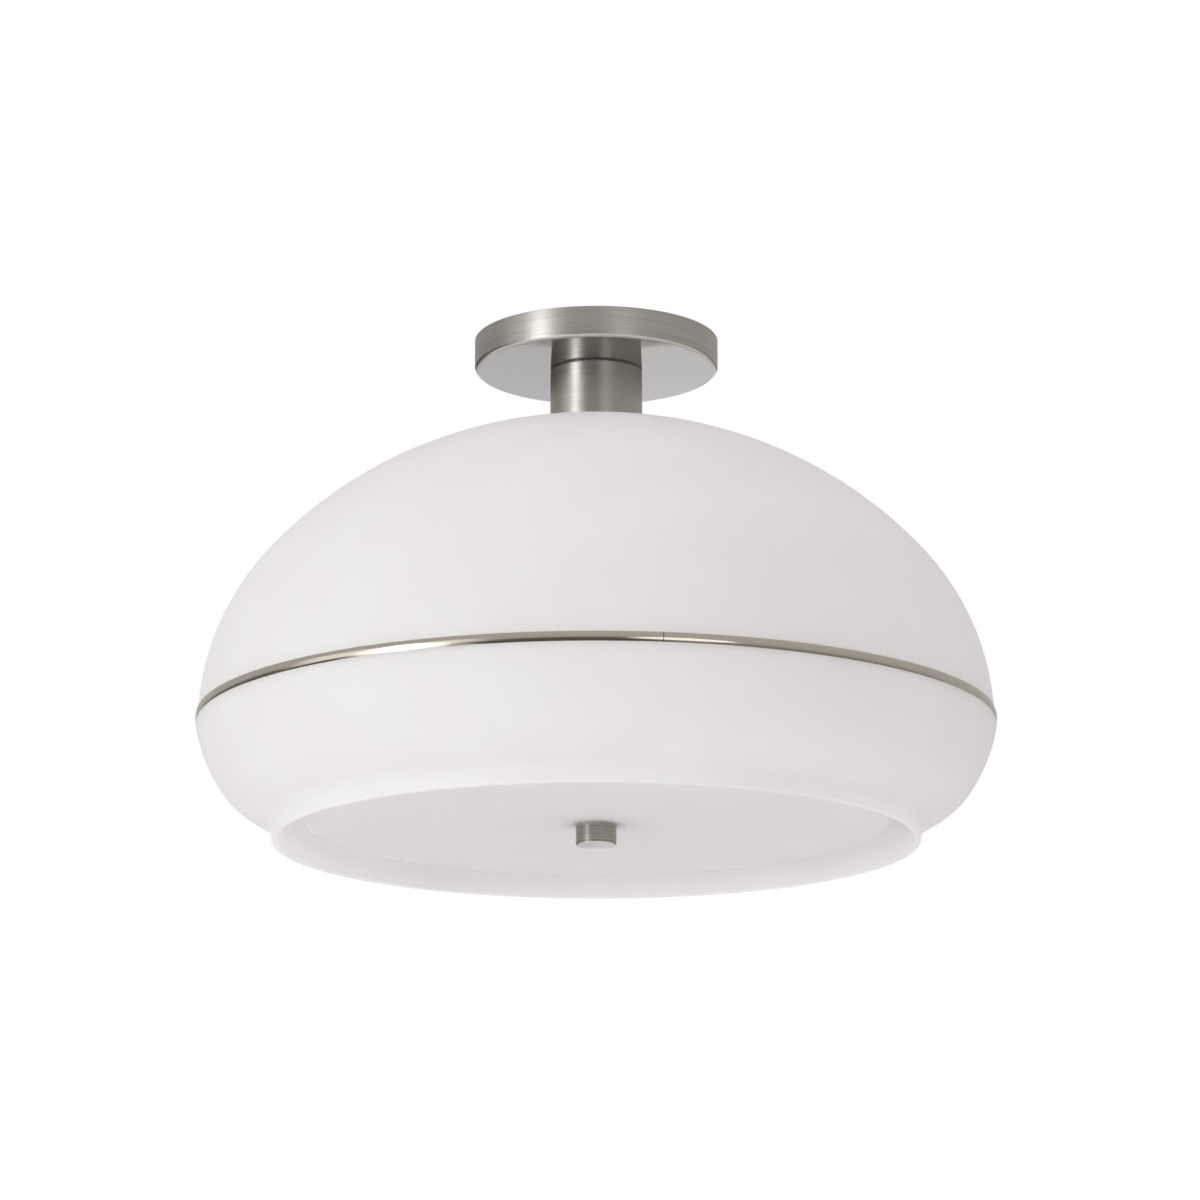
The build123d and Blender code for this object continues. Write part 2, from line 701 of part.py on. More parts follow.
with BuildPart() as diffuser_bush:
    with BuildSketch(Plane.XY.offset(diffuser_underside)):
        Circle(diffuser_hole_radius - thread_gap)
        Circle(rod_radius + slip_gap, mode=Mode.SUBTRACT)
    extrude(amount=diffuser_thickness)
diffuser_bush.part.label = "diffuser_bush"
export_step(diffuser_bush.part, "parts/diffuser_bush.step")

with BuildPart() as diffuser_washer:
    with BuildSketch(Plane.XY.offset(diffuser_top)):
        Circle(soft_washer_radius)
        Circle(rod_radius + slip_gap, mode=Mode.SUBTRACT)
    extrude(amount=soft_washer_thickness)
diffuser_washer.part.label = "diffuser_washer"
export_step(diffuser_washer.part, "parts/diffuser_washer.step")

# ---- finial: a plain knob with a threaded blind hole, and the thin washer on top of it
with BuildPart() as finial_washer:
    with BuildSketch(Plane.XY.offset(finial_top)):
        Circle(finial_washer_radius)
        Circle(rod_radius + slip_gap, mode=Mode.SUBTRACT)
    extrude(amount=finial_washer_thickness)
finial_washer.part.label = "finial_washer"
export_step(finial_washer.part, "parts/finial_washer.step")

with BuildPart() as finial:
    with BuildSketch(Plane.XY.offset(finial_bottom)):
        Circle(finial_radius)
    extrude(amount=finial_height)
    chamfer(finial.edges().group_by(Axis.Z)[0], finial_chamfer)
    chamfer(finial.edges().group_by(Axis.Z)[-1], finial_top_chamfer)
    with BuildSketch(Plane.XY.offset(finial_top)):
        Circle(rod_hole)
    extrude(amount=-finial_thread_depth, mode=Mode.SUBTRACT)
finial.part.label = "finial"
export_step(finial.part, "parts/finial.step")

print(f"shade: seat {glass_seat:.2f}, inner seat {glass_inner_seat:.2f}, lip radius {lip_radius:.2f}")
print(f"hub: top {hub_top:.2f}, cone {hub_cone_top:.2f} to {hub_bottom:.2f}; rod {rod_top:.2f} to {rod_bottom:.2f}")
print(f"finial: {finial_top:.2f} to {finial_bottom:.2f}")
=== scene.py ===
import json
import math

import bmesh
import bpy
from mathutils import Matrix, Vector


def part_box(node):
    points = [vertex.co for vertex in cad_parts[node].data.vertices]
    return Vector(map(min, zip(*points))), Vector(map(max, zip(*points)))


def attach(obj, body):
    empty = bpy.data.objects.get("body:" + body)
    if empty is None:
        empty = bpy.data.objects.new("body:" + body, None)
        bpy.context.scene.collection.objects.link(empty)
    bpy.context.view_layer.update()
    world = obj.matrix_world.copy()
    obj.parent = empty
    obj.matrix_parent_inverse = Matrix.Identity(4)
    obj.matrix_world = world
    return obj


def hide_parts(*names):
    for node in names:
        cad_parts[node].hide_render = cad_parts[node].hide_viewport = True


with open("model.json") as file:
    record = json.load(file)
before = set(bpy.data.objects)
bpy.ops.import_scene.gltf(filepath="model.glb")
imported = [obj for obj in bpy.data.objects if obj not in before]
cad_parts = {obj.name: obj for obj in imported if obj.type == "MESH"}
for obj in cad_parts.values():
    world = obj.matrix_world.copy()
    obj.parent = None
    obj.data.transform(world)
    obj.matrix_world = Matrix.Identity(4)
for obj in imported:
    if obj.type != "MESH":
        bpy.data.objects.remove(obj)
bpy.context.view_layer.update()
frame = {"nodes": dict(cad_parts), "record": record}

MM = 0.001

# the camera, solved from the outline in the photograph
PHOTO_WIDTH_PX = 1200
CAMERA_FOCAL_PX = 4323.5
CAMERA_PLACE = (0.00192, -2.1523, -0.6570)
CAMERA_PITCH = 13.56
SENSOR_MM = 36.0

# the longest turn, in degrees, between two points of a profile's arcs and of its rounded corners
ARC_STEP = 2.5
CORNER_STEP = 12

# lengths from here on are in millimetres
# a nut is its height, its width across flats and its hole's radius
FINE_PITCH, FINE_DEPTH, FINE_STEP = 0.94, 0.5, 0.94 / 5
LAMP_PITCH, LAMP_STEP = 3.63, 0.36
NIPPLE_NUT = (3.0, 14.3, 5.1)
ROD_NUT = (4.0, 11.1, 3.17)

# each lamp's axis leaves the hub's cone at this radius and height over the hub's underside
LAMP_AZIMUTHS = (90, 210, 330)
LAMP_TILT = math.radians(45)
HUB_MIDDLE = (19.0, 7.0)
# along that axis: the depth of the holder's socket, and where the bulb's cap ends on its neck
SOCKET_START, SOCKET_END = 16.0, 42.0
CAP_END = 47.0


# ---- the frame's own levels and radii ----------------------------------------------------------

def low(node):
    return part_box(node)[0] / MM


def high(node):
    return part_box(node)[1] / MM


def radius_of(node):
    return (high(node).x - low(node).x) / 2


# ---- materials ---------------------------------------------------------------------------------

class Nodes:
    """A node tree under construction: a short way to add nodes and join them."""

    def __init__(self, tree):
        self.tree = tree
        self.tree.nodes.clear()

    def add(self, kind, settings=None, **inputs):
        """A node with its properties and inputs set. Spaces in an input's name are underscores here."""
        node = self.tree.nodes.new(kind)
        for key, value in (settings or {}).items():
            setattr(node, key, value)
        for key, value in inputs.items():
            self.feed(node.inputs[key.replace("_", " ")], value)
        return node

    def feed(self, socket, value):
        """Sets an input, or links it where the value is another node's output."""
        if isinstance(value, bpy.types.NodeSocket):
            self.tree.links.new(value, socket)
        else:
            socket.default_value = value

    def maths(self, operation, *values):
        node = self.add("ShaderNodeMath", {"operation": operation})
        for socket, value in zip(node.inputs, values):
            self.feed(socket, value)
        return node.outputs[0]

    def length(self, vector):
        node = self.add("ShaderNodeVectorMath", {"operation": "LENGTH"})
        self.feed(node.inputs[0], vector)
        return node.outputs["Value"]

    def smooth(self, value, start, end, before=0.0, after=1.0):
        """Goes softly from one number to another while a value goes from start to end."""
        node = self.add("ShaderNodeMapRange", {"interpolation_type": "SMOOTHSTEP"}, Value=value,
                        From_Min=start, From_Max=end, To_Min=before, To_Max=after)
        return node.outputs[0]

    def mix(self, amount, first, second):
        """Two shaders mixed, by the amount of the second."""
        node = self.add("ShaderNodeMixShader")
        for socket, value in zip(node.inputs, (amount, first.outputs[0], second.outputs[0])):
            self.feed(socket, value)
        return node


class Shader(Nodes):
    """A material's nodes. place is the object's own coordinates, in metres."""

    def __init__(self, name):
        self.material = bpy.data.materials.new(name)
        self.material.use_nodes = True
        super().__init__(self.material.node_tree)
        self.place = self.add("ShaderNodeTexCoord").outputs["Object"]

    def scaled(self, across, along):
        """Object coordinates whose X and Y are scaled by one number and Z by another."""
        return self.add("ShaderNodeMapping", Vector=self.place, Scale=(across, across, along)).outputs[0]

    def noise(self, vector, scale, detail=2.0, roughness=0.5):
        node = self.add("ShaderNodeTexNoise", Vector=vector, Scale=scale, Detail=detail,
                        Roughness=roughness)
        return node.outputs["Fac"]

    def spread(self, value, low_end, high_end):
        """Stretches a noise, which stays near its middle, over a range."""
        node = self.add("ShaderNodeMapRange", Value=value, From_Min=0.3, From_Max=0.7,
                        To_Min=low_end, To_Max=high_end)
        return node.outputs[0]

    def blend(self, amount, first, second):
        """Two colours mixed, by the amount of the second."""
        node = self.add("ShaderNodeMix", {"data_type": "RGBA"})
        self.feed(node.inputs[0], amount)
        self.feed(node.inputs[6], first)
        self.feed(node.inputs[7], second)
        return node.outputs[2]

    def bump(self, height, depth):
        node = self.add("ShaderNodeBump", Height=height, Strength=1.0, Distance=depth * MM)
        return node.outputs["Normal"]

    def surface(self, shader):
        """Joins the finished shader to the output and gives the material."""
        self.add("ShaderNodeOutputMaterial", Surface=shader.outputs[0])
        return self.material


def rgb(*values):
    """A linear colour from 0 to 255 screen values."""
    def linear(v):
        v /= 255
        return v / 12.92 if v <= 0.04045 else ((v + 0.055) / 1.055) ** 2.4
    return (*(linear(v) for v in values), 1.0)


def turned_metal(name, colour, roughness, grain, anisotropy, slope=1, grain_depth=0.006):
    """Metal finished on a lathe. Its lines are a noise of radius times slope plus height, so they run
    round the axis on sides and on faces, and drift only slightly on their way round."""
    fine_scale, broad_scale, cloud_scale, drift = 2600.0, 1100.0, 35.0, 0.012
    s = Shader(name)
    split = s.add("ShaderNodeSeparateXYZ", Vector=s.place)
    flat = s.add("ShaderNodeCombineXYZ", X=split.outputs[0], Y=split.outputs[1])
    along = s.maths("MULTIPLY_ADD", s.length(flat.outputs[0]), float(slope), split.outputs[2])
    lines = s.add("ShaderNodeCombineXYZ", X=s.maths("MULTIPLY", split.outputs[0], drift),
                  Y=s.maths("MULTIPLY", split.outputs[1], drift), Z=along).outputs[0]
    fine = s.noise(lines, fine_scale, detail=3.0, roughness=0.65)
    broad = s.noise(lines, broad_scale)
    cloud = s.noise(s.place, cloud_scale)
    tone = s.maths("ADD", s.spread(fine, -grain, grain), s.spread(broad, -grain, grain))
    tint = s.add("ShaderNodeVectorMath", {"operation": "SCALE"}, Scale=s.maths("ADD", tone, 1.0))
    s.feed(tint.inputs[0], colour[:3])
    rough = s.maths("ADD", s.spread(fine, roughness * 0.85, roughness * 1.15),
                    s.spread(cloud, -0.01, 0.01))
    body = s.add("ShaderNodeBsdfPrincipled", Base_Color=tint.outputs[0], Roughness=rough, Metallic=1.0,
                 Anisotropic=anisotropy, Anisotropic_Rotation=0.25, Normal=s.bump(fine, grain_depth))
    if anisotropy:
        round_axis = s.add("ShaderNodeTangent", {"direction_type": "RADIAL", "axis": "Z"})
        s.feed(body.inputs["Tangent"], round_axis.outputs[0])
    return s.surface(body)


def polished_metal(name, colour, roughness, seam_at):
    """Buffed metal. seam_at is the angle, in degrees from X, of the butt joint where a bent strip's ends
    meet."""
    dull, seam, seam_half = rgb(203, 195, 182), rgb(78, 74, 68), 0.0009
    s = Shader(name)
    haze = s.noise(s.place, 60.0, detail=4.0)
    wipe = s.noise(s.scaled(40.0, 900.0), 6.0, detail=3.0)
    rough = s.maths("ADD", s.spread(haze, roughness * 0.7, roughness * 1.3),
                    s.spread(wipe, 0.0, roughness * 0.3))
    tone = s.blend(s.spread(haze, 0.0, 0.15), colour, dull)
    split = s.add("ShaderNodeSeparateXYZ", Vector=s.place)
    turn = s.maths("ARCTAN2", split.outputs[1], split.outputs[0])
    off_seam = s.maths("ABSOLUTE", s.maths("SUBTRACT", turn, math.radians(seam_at)))
    tone = s.blend(s.maths("LESS_THAN", off_seam, seam_half), tone, seam)
    return s.surface(s.add("ShaderNodeBsdfPrincipled", Base_Color=tone, Roughness=rough, Metallic=1.0,
                           Normal=s.bump(haze, 0.002)))


def plated_steel(name, colour, second, roughness):
    """Plate on a stamped or turned part: cloudy colour, uneven gloss, fine scratches."""
    s = Shader(name)
    cloud = s.noise(s.place, 90.0, detail=5.0, roughness=0.6)
    scratch = s.noise(s.scaled(3000.0, 240.0), 1.0, detail=4.0)
    tone = s.blend(s.spread(cloud, 0.0, 1.0), colour, second)
    rough = s.maths("ADD", s.spread(cloud, roughness, roughness * 1.5), s.spread(scratch, -0.04, 0.04))
    return s.surface(s.add("ShaderNodeBsdfPrincipled", Base_Color=tone, Roughness=rough, Metallic=1.0,
                           Normal=s.bump(scratch, 0.003)))


def opal_glass(name, colour, second, roughness, through, skin_depth):
    """Etched white glass: a satin skin with the faint orange peel of blown glass, and light through the
    wall."""
    s = Shader(name)
    peel = s.noise(s.place, 28.0)
    etch = s.noise(s.place, 2600.0)
    tone = s.blend(s.spread(peel, 0.0, 1.0), colour, second)
    skin = s.bump(s.maths("MULTIPLY_ADD", etch, 0.02, peel), skin_depth)
    body = s.add("ShaderNodeBsdfPrincipled", Base_Color=tone, IOR=1.5, Normal=skin,
                 Roughness=s.spread(etch, roughness * 0.92, roughness * 1.08))
    passing = s.add("ShaderNodeBsdfTranslucent", Color=tone)
    return s.surface(s.mix(through, body, passing))


def glazed(name, colour, second, roughness, coat):
    """Porcelain or enamel: an even ground with faint specks under a clear skin."""
    s = Shader(name)
    speck = s.noise(s.place, 900.0, detail=3.0)
    wave = s.noise(s.place, 60.0)
    tone = s.blend(s.spread(speck, 0.0, 0.6), colour, second)
    rough = s.spread(wave, roughness * 0.8, roughness * 1.2)
    return s.surface(s.add("ShaderNodeBsdfPrincipled", Base_Color=tone, Roughness=rough,
                           Coat_Weight=coat, Coat_Roughness=0.08, Normal=s.bump(wave, 0.05)))


def moulded(name, colour, second, roughness, grain_depth):
    """Silicone or nylon: a matt skin with fine grain."""
    s = Shader(name)
    grain = s.noise(s.place, 1800.0, detail=3.0)
    cloud = s.noise(s.place, 120.0)
    tone = s.blend(s.spread(cloud, 0.0, 1.0), colour, second)
    rough = s.spread(grain, roughness * 0.9, roughness * 1.1)
    return s.surface(s.add("ShaderNodeBsdfPrincipled", Base_Color=tone, Roughness=rough,
                           Normal=s.bump(grain, grain_depth)))


NICKEL = rgb(197, 192, 184)
brushed_side = turned_metal("brushed_side", NICKEL, 0.40, 0.085, 0.85)
brushed_barrel = turned_metal("brushed_barrel", NICKEL, 0.40, 0.065, 0.70, slope=-1)
# the knob is the same brushed nickel as the canopy; its darker colour is painted shade on its sides
brushed_knob_shaded = turned_metal("brushed_knob_shaded", rgb(170, 165, 158), 0.38, 0.28, 0.86)
# rounded edges: a smoother buff, with a colour lighter than the nickel that paints the highlight line
# these edges catch
buffed_edge_highlight = turned_metal("buffed_edge_highlight", rgb(217, 213, 205), 0.22, 0.03, 0.3)
satin_face = turned_metal("satin_face", rgb(191, 188, 187), 0.06, 0.006, 0.0, grain_depth=0.0003)
ring_metal = polished_metal("ring_metal", rgb(212, 203, 189), 0.11, seam_at=-81.1)
zinc = plated_steel("zinc", rgb(196, 199, 203), rgb(182, 186, 190), 0.24)
green_zinc = plated_steel("green_zinc", rgb(30, 118, 58), rgb(22, 96, 46), 0.28)
aluminium = plated_steel("aluminium", rgb(206, 208, 210), rgb(192, 195, 199), 0.26)
brass = plated_steel("brass", rgb(214, 184, 116), rgb(198, 166, 98), 0.26)
opal = opal_glass("opal", rgb(253, 252, 252), rgb(252, 250, 250), 0.50, 0.60, 0.05)
frosted = opal_glass("frosted", rgb(251, 249, 249), rgb(249, 247, 247), 0.55, 0.62, 0.01)
bulb_white = opal_glass("bulb_white", rgb(253, 252, 251), rgb(251, 250, 249), 0.38, 0.58, 0.01)
porcelain = glazed("porcelain", rgb(238, 236, 230), rgb(229, 226, 218), 0.22, 0.6)
enamel = glazed("enamel", rgb(234, 233, 229), rgb(228, 227, 222), 0.35, 0.25)
insulator = glazed("insulator", rgb(20, 20, 22), rgb(27, 27, 30), 0.18, 0.3)
solder = plated_steel("solder", rgb(196, 197, 198), rgb(172, 173, 175), 0.34)
silicone = moulded("silicone", rgb(222, 222, 218), rgb(213, 213, 209), 0.55, 0.004)
nylon = moulded("nylon", rgb(230, 229, 222), rgb(222, 221, 213), 0.48, 0.003)


# ---- meshes ------------------------------------------------------------------------------------

def rounded(corners):
    """A closed profile from corners (radius, height, rounding): each corner becomes a tangent arc."""
    points = []
    count = len(corners)
    for i, (x, y, rounding) in enumerate(corners):
        here = Vector((x, y))
        if rounding <= 0:
            points.append((x, y))
            continue
        back = Vector(corners[i - 1][:2]) - here
        ahead = Vector(corners[(i + 1) % count][:2]) - here
        half = back.angle(ahead) / 2
        reach = rounding / math.tan(half)
        between = (back.normalized() + ahead.normalized()).normalized()
        centre = here + between * (rounding / math.sin(half))
        start = here + back.normalized() * reach - centre
        end = here + ahead.normalized() * reach - centre
        turn = math.pi - 2 * half
        if start.x * end.y - start.y * end.x < 0:
            turn = -turn
        steps = max(3, math.ceil(abs(turn) / math.radians(CORNER_STEP)))
        for k in range(steps + 1):
            angle = turn * k / steps
            points.append((centre.x + start.x * math.cos(angle) - start.y * math.sin(angle),
                           centre.y + start.x * math.sin(angle) + start.y * math.cos(angle)))
    return points


def run_on(start, heading, moves):
    """Points of a line that runs on from start: each move is an arc (radius, turn in degrees), and a turn
    to the left is positive."""
    points = [start]
    x, y = start
    for radius, turn in moves:
        side = math.copysign(1, turn)
        centre_x = x - side * radius * math.sin(heading)
        centre_y = y + side * radius * math.cos(heading)
        steps = max(2, math.ceil(abs(turn) / ARC_STEP))
        for k in range(1, steps + 1):
            angle = heading + math.radians(turn) * k / steps
            points.append((centre_x + side * radius * math.sin(angle),
                           centre_y - side * radius * math.cos(angle)))
        x, y = points[-1]
        heading += math.radians(turn)
    return points


def add_skin(bm, rings, segments, closed):
    """Faces between rings of vertices. A ring of one vertex lies on the axis."""
    for first, second in zip(rings, rings[1:] + (rings[:1] if closed else [])):
        for k in range(segments):
            n = (k + 1) % segments
            corners = [first[k % len(first)], first[n % len(first)],
                       second[n % len(second)], second[k % len(second)]]
            corners = [v for i, v in enumerate(corners) if v not in corners[:i]]
            if len(corners) > 2:
                bm.faces.new(corners)


def to_piece(name, bm, sharp):
    """A smooth-shaded piece whose edges above an angle, in degrees, stay sharp."""
    bmesh.ops.recalc_face_normals(bm, faces=bm.faces)
    mesh = bpy.data.meshes.new(name)
    bm.to_mesh(mesh)
    bm.free()
    for polygon in mesh.polygons:
        polygon.use_smooth = True
    mesh.set_sharp_from_angle(angle=math.radians(sharp))
    piece = bpy.data.objects.new(name, mesh)
    bpy.context.scene.collection.objects.link(piece)
    return piece


def lathe(name, profile, segments=192, closed=True, wave=None, sharp=28.0):
    """A turned piece from a profile of (radius, height). wave(height, angle) adds to the radius, as a
    thread does."""
    bm = bmesh.new()
    rings = []
    for radius, height in profile:
        if radius < 1e-6:
            rings.append([bm.verts.new((0, 0, height * MM))])
            continue
        ring = []
        for k in range(segments):
            angle = 2 * math.pi * k / segments
            reach = radius + (wave(height, angle) if wave else 0.0)
            place = reach * math.cos(angle) * MM, reach * math.sin(angle) * MM, height * MM
            ring.append(bm.verts.new(place))
        rings.append(ring)
    add_skin(bm, rings, segments, closed)
    return to_piece(name, bm, sharp)


def dress(piece, body, slot, node, *materials):
    """Gives a piece its materials and its body, and hides the CAD node that it stands for. Its slot is
    not used.
    """
    for material in materials:
        piece.data.materials.append(material)
    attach(piece, body)
    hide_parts(node)


def paint_faces(piece, index, test):
    """Gives a material index to the faces whose middle (radius, height) and normal's Z pass a test."""
    for polygon in piece.data.polygons:
        middle = polygon.center
        if test(math.hypot(middle.x, middle.y) / MM, middle.z / MM, polygon.normal.z):
            polygon.material_index = index


# ---- canopy, barrel and knob -------------------------------------------------------------------

def make_canopy():
    radius, depth = radius_of("canopy"), -low("canopy").z
    wall, hole, corner = 1.2, 5.3, 2.2
    profile = rounded([
        (hole, -depth, 0),
        (radius, -depth, corner),
        (radius, 0, 0.25),
        (radius - wall, 0, 0.25),
        (radius - wall, -depth + wall, corner - wall),
        (hole, -depth + wall, 0),
    ])
    piece = lathe("canopy_pan", profile, segments=256)
    dress(piece, "fixture", "brushed_nickel", "canopy", brushed_side, satin_face, buffed_edge_highlight)
    paint_faces(piece, 1, lambda r, z, up: z < -depth + 0.01 and r < radius - corner * 0.9)
    # the rounded lower edge gets the smoother buff and a painted highlight line
    paint_faces(piece, 2, lambda r, z, up: r > radius - corner and -0.97 < up < -0.35)


def make_barrel():
    radius, top, bottom = radius_of("stem_barrel"), high("stem_barrel").z, low("stem_barrel").z
    wall, plate, chamfer, hole = 1.6, 2.2, 1.0, 5.1
    profile = rounded([
        (hole, top, 0),
        (radius - chamfer, top, 0.15),
        (radius, top - chamfer, 0.3),
        (radius, bottom, 0.25),
        (radius - wall, bottom, 0.1),
        (radius - wall, top - plate, 0.5),
        (hole, top - plate, 0),
    ])
    dress(lathe("barrel", profile), "fixture", "brushed_nickel", "stem_barrel", brushed_barrel)


def make_knob():
    radius, top, bottom = radius_of("finial"), high("finial").z, low("finial").z
    hole, hole_depth, chamfer = 3.17, 7.4, 0.3
    profile = rounded([
        (0, bottom, 0),
        (radius, bottom, 0.7),
        (radius, top - chamfer, 0.15),
        (radius - chamfer, top, 0.1),
        (hole, top, 0.2),
        (hole, top - hole_depth, 0),
        (0, top - hole_depth, 0),
    ])
    piece = lathe("knob", profile, segments=128, closed=False)
    dress(piece, "finial", "brushed_nickel", "finial", brushed_knob_shaded, satin_face, buffed_edge_highlight)
    paint_faces(piece, 1, lambda r, z, up: up < -0.9)
    # the rounded lower corner gets the smoother buff and a painted highlight line
    paint_faces(piece, 2, lambda r, z, up: z < bottom + 1 and -0.9 < up < -0.4)


# ---- shade, band and diffuser ------------------------------------------------------------------

def make_shade():
    """The blown glass. Its outer line is a chain of tangent arcs from the crown over the shoulder, the
    band's seat and ledge, the bowl's arcs, and a fillet into the lip. The inner line lies the wall's
    thickness in."""
    wall, hole = 3.3, 8.0
    band_top, band_bottom = high("trim_ring").z, low("trim_ring").z
    seat_radius, ledge_radius = 201.8, 202.9
    lean, shoulder_arc, shoulder_turn, crown_arc = 1.87, 126.6, 39.73, 216.5
    outer_crown_end, inner_crown_end = 24.0, 26.0
    fall, bowl = 9.79, [(78.2, 24.84), (36.9, 22.21), (113.4, 6.46)]
    neck_fillet, neck_turn = 8.8, fall + sum(turn for _, turn in bowl)
    rim_height, rim_round, lip_taper, lip_depth = low("glass_shade").z, 1.2, 0.2, 9

    def crown_to(end_radius, inset):
        """The crown's turn to a radius, from where its centre lies."""
        angle = math.radians(lean + shoulder_turn)
        centre_x = (seat_radius - shoulder_arc * math.cos(math.radians(lean))
                    + (shoulder_arc - crown_arc) * math.cos(angle))
        from_level = math.degrees(math.asin((end_radius - centre_x) / (crown_arc - inset)))
        return 90 - from_level - lean - shoulder_turn

    def dome(start, inset, end_radius):
        return run_on(start, math.radians(90 + lean), [
            (shoulder_arc - inset, shoulder_turn), (crown_arc - inset, crown_to(end_radius, inset))])

    def bowl_from(start, inset):
        moves = [(radius - inset, -turn) for radius, turn in bowl] + [(neck_fillet + inset, neck_turn)]
        return run_on(start, math.radians(-90 - fall), moves)

    lean_angle, fall_angle = math.radians(lean), math.radians(fall)
    inner_foot = seat_radius - wall * math.cos(lean_angle), band_top - wall * math.sin(lean_angle)
    inner_edge = ledge_radius - wall * math.cos(fall_angle), band_bottom + wall * math.sin(fall_angle)
    outer_dome = dome((seat_radius, band_top), 0, outer_crown_end)
    inner_dome = dome(inner_foot, wall, inner_crown_end)
    outer_bowl = bowl_from((ledge_radius, band_bottom), 0)
    inner_bowl = bowl_from(inner_edge, wall)

    rim_outer = outer_bowl[-1][0] - lip_taper
    rim_inner = inner_bowl[-1][0] - lip_taper
    rim = rounded([(rim_outer, rim_height, rim_round), (rim_inner, rim_height, rim_round),
                   (rim_inner, rim_height + lip_depth, 0), (rim_outer, rim_height + lip_depth, 0)])[:-2]
    profile = outer_dome[::-1] + [(seat_radius, band_bottom)] + outer_bowl + rim + inner_bowl[::-1]
    profile += inner_dome + [(hole, inner_dome[-1][1]), (hole, outer_dome[-1][1])]
    dress(lathe("shade", profile, segments=288), "fixture", "opal_glass", "glass_shade", opal)


def make_band():
    """The bright strip: its face bulges a little between rounded edges."""
    top, bottom = high("trim_ring").z, low("trim_ring").z
    inner, edge, bulge, round_over = 202.0, 202.75, 0.4, 0.12
    half, middle = (top - bottom) / 2, (top + bottom) / 2
    arc_radius = (half ** 2 + bulge ** 2) / (2 * bulge)
    centre = edge + bulge - arc_radius
    lean = math.asin((half - round_over) / arc_radius)
    steps = 14
    face = []
    for k in range(steps + 1):
        angle = lean * (2 * k / steps - 1)
        face.append((centre + arc_radius * math.cos(angle), middle + arc_radius * math.sin(angle)))
    low_edge = [(edge - 0.14, bottom), (edge - 0.04, bottom + 0.03), (edge, bottom + 0.10)]
    high_edge = [(r, top + bottom - z) for r, z in low_edge[::-1]]
    profile = low_edge + face + high_edge + [(inner, top), (inner, bottom)]
    dress(lathe("band", profile, segments=320), "fixture", "polished_nickel", "trim_ring", ring_metal)


def make_diffuser():
    radius, top, bottom = radius_of("diffuser_disc"), high("diffuser_disc").z, low("diffuser_disc").z
    hole, hole_chamfer, arris, arris_round, border = 5.0, 0.2, 0.8, 0.3, 12
    between = (12, 20, 30, 45, 70, 100, 130)
    edge = rounded([
        (radius - arris, bottom, arris_round),
        (radius, bottom + arris, arris_round),
        (radius, top - arris, arris_round),
        (radius - arris, top, arris_round),
        (radius - border, top, 0),
        (radius - border, bottom, 0),
    ])[:-2]
    profile = [(hole, bottom + hole_chamfer), (hole + hole_chamfer, bottom)]
    profile += [(r, bottom) for r in between] + edge + [(r, top) for r in between[::-1]]
    profile += [(hole + hole_chamfer, top), (hole, top - hole_chamfer)]
    dress(lathe("diffuser", profile, segments=256), "diffuser", "frosted_glass", "diffuser_disc", frosted)


# ---- threads and nuts --------------------------------------------------------------------------

def thread(pitch, depth, spans, fade=1.0):
    """A right-hand screw thread cut into a surface: the change of radius over given spans of height. It
    fades out towards a span's ends."""
    def wave(height, angle):
        for start, end in spans:
            if start < height < end:
                edge = min(1.0, min(height - start, end - height) / fade)
                return -depth * edge * (0.5 - 0.5 * math.sin(angle - 2 * math.pi * height / pitch))
        return 0.0
    return wave


def heights(start, end, step):
    count = max(1, math.ceil(abs(end - start) / step))
    return [start + (end - start) * k / count for k in range(count + 1)]


def make_rod():
    """The centre rod, threaded where its nuts and the knob run."""
    radius, top, bottom = radius_of("centre_rod"), high("centre_rod").z, low("centre_rod").z
    chamfer, knob_run, nut_run = 0.5, 26, 20
    side = heights(bottom + chamfer, bottom + knob_run, FINE_STEP)
    side += heights(top - nut_run, top - chamfer, FINE_STEP)
    profile = [(0, bottom), (radius - chamfer, bottom)] + [(radius, z) for z in side]
    profile += [(radius - chamfer, top), (0, top)]
    cut = thread(FINE_PITCH, FINE_DEPTH, [(bottom, bottom + knob_run), (top - nut_run, top)])
    piece = lathe("threaded_rod", profile, segments=40, closed=False, wave=cut, sharp=50)
    dress(piece, "fixture", "zinc_plate", "centre_rod", zinc)


def make_nipple():
    """The hollow nipple: its thread shows inside the canopy."""
    radius, bore, chamfer, run = 5.0, 3.3, 0.5, 15.5
    top, bottom = high("hollow_nipple").z, low("hollow_nipple").z
    profile = [(bore, bottom), (radius - chamfer, bottom), (radius, bottom + chamfer)]
    profile += [(radius, z) for z in heights(top - run, top - chamfer, FINE_STEP)]
    profile += [(radius - chamfer, top), (bore, top)]
    cut = thread(FINE_PITCH, FINE_DEPTH, [(top - run, top)])
    piece = lathe("threaded_nipple", profile, segments=48, wave=cut, sharp=50)
    dress(piece, "fixture", "zinc_plate", "hollow_nipple", zinc)


